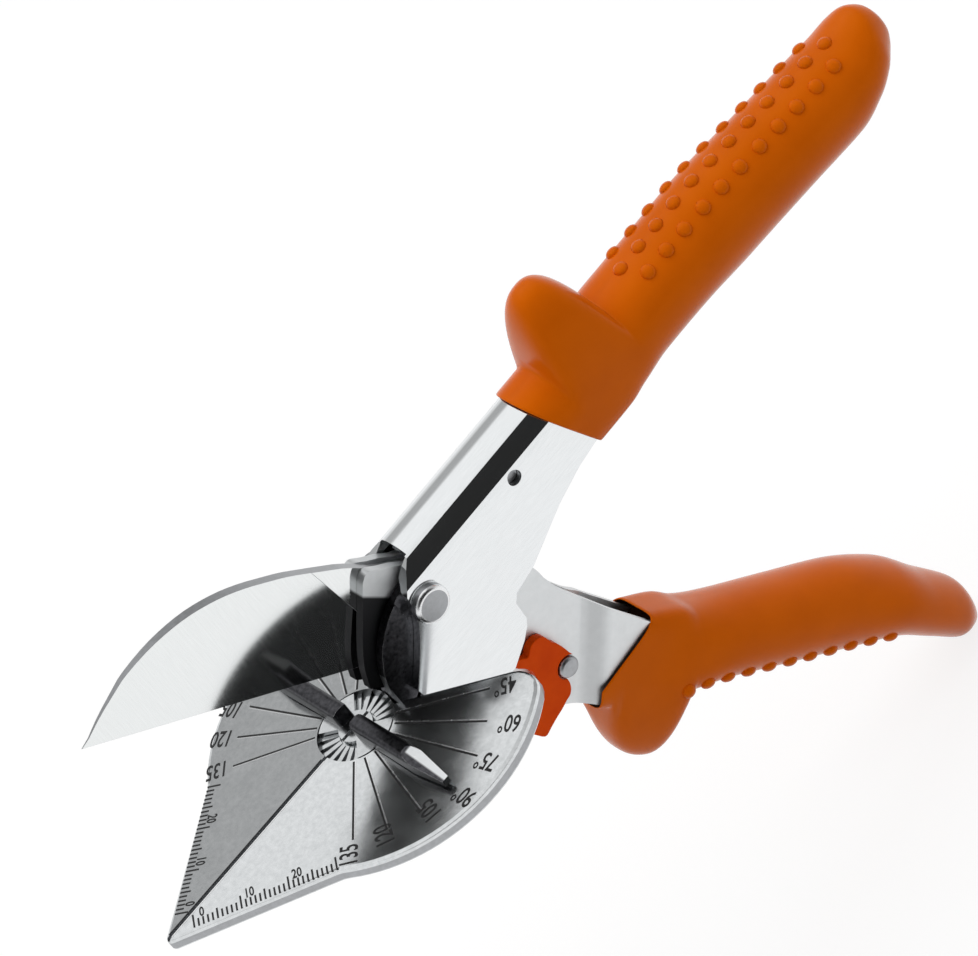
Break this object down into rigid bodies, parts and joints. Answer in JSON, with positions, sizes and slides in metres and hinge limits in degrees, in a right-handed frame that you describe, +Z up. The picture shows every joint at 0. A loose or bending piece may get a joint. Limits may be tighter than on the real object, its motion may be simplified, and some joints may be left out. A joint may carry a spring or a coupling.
{
  "type": "mitre shears",
  "caption": "Hand shears that cut trim at set angles: a curved blade closes on a small angle table with a turning fence.",
  "frame": {"origin": "centre of the angle scale, on the flat top of the fence's hub", "axes": "+X to the tip of the table, +Z up off the table, +Y to the side with the bolt's head and the latch"},
  "size_m": [0.223, 0.0718, 0.1637],
  "materials": {
    "cast_steel": "satin plated casting",
    "bright_steel": "bright nickel plate",
    "blade_steel": "polished",
    "dark_steel": "plain plated",
    "spring_steel": "oiled",
    "grip_plastic": "orange, soft sheen",
    "latch_plastic": "deep orange, soft sheen"
  },
  "bodies": {
    "upper": {"anvil": "cast_steel", "upper_handle": "bright_steel", "upper_grip": "grip_plastic", "pivot_bolt": "dark_steel", "pivot_bush": "dark_steel", "pivot_washer": "dark_steel", "pivot_nut": "dark_steel", "spring_pin": "dark_steel", "return_spring": "spring_steel"},
    "lower": {"lower_handle": "bright_steel", "lower_grip": "grip_plastic", "blade": "blade_steel", "blade_rivet_front": "dark_steel", "blade_rivet_rear": "dark_steel", "latch_stud": "dark_steel"},
    "fence": {"fence": "cast_steel", "fence_spring": "spring_steel", "fence_washer": "dark_steel", "fence_screw": "dark_steel"},
    "latch": {"latch": "latch_plastic"}
  },
  "joints": [
    {"name": "handle_pivot", "type": "hinge", "parent": "upper", "child": "lower", "pos_m": [-0.0244, 0, 0.0143], "axis": [0, 1, 0], "range_deg": [0, 38.15], "stiffness_Nm_per_rad": 0.4, "springref_deg": -40.11, "deforming": ["return_spring"]},
    {"name": "fence_turn", "type": "hinge", "parent": "upper", "child": "fence", "pos_m": [0, 0, 0], "axis": [0, 0, 1], "range_deg": [-45, 45]},
    {"name": "latch_turn", "type": "hinge", "parent": "lower", "child": "latch", "pos_m": [-0.03833, 0.00435, -0.02754], "axis": [0, 1, 0], "range_deg": [-50, 0]}
  ]
}
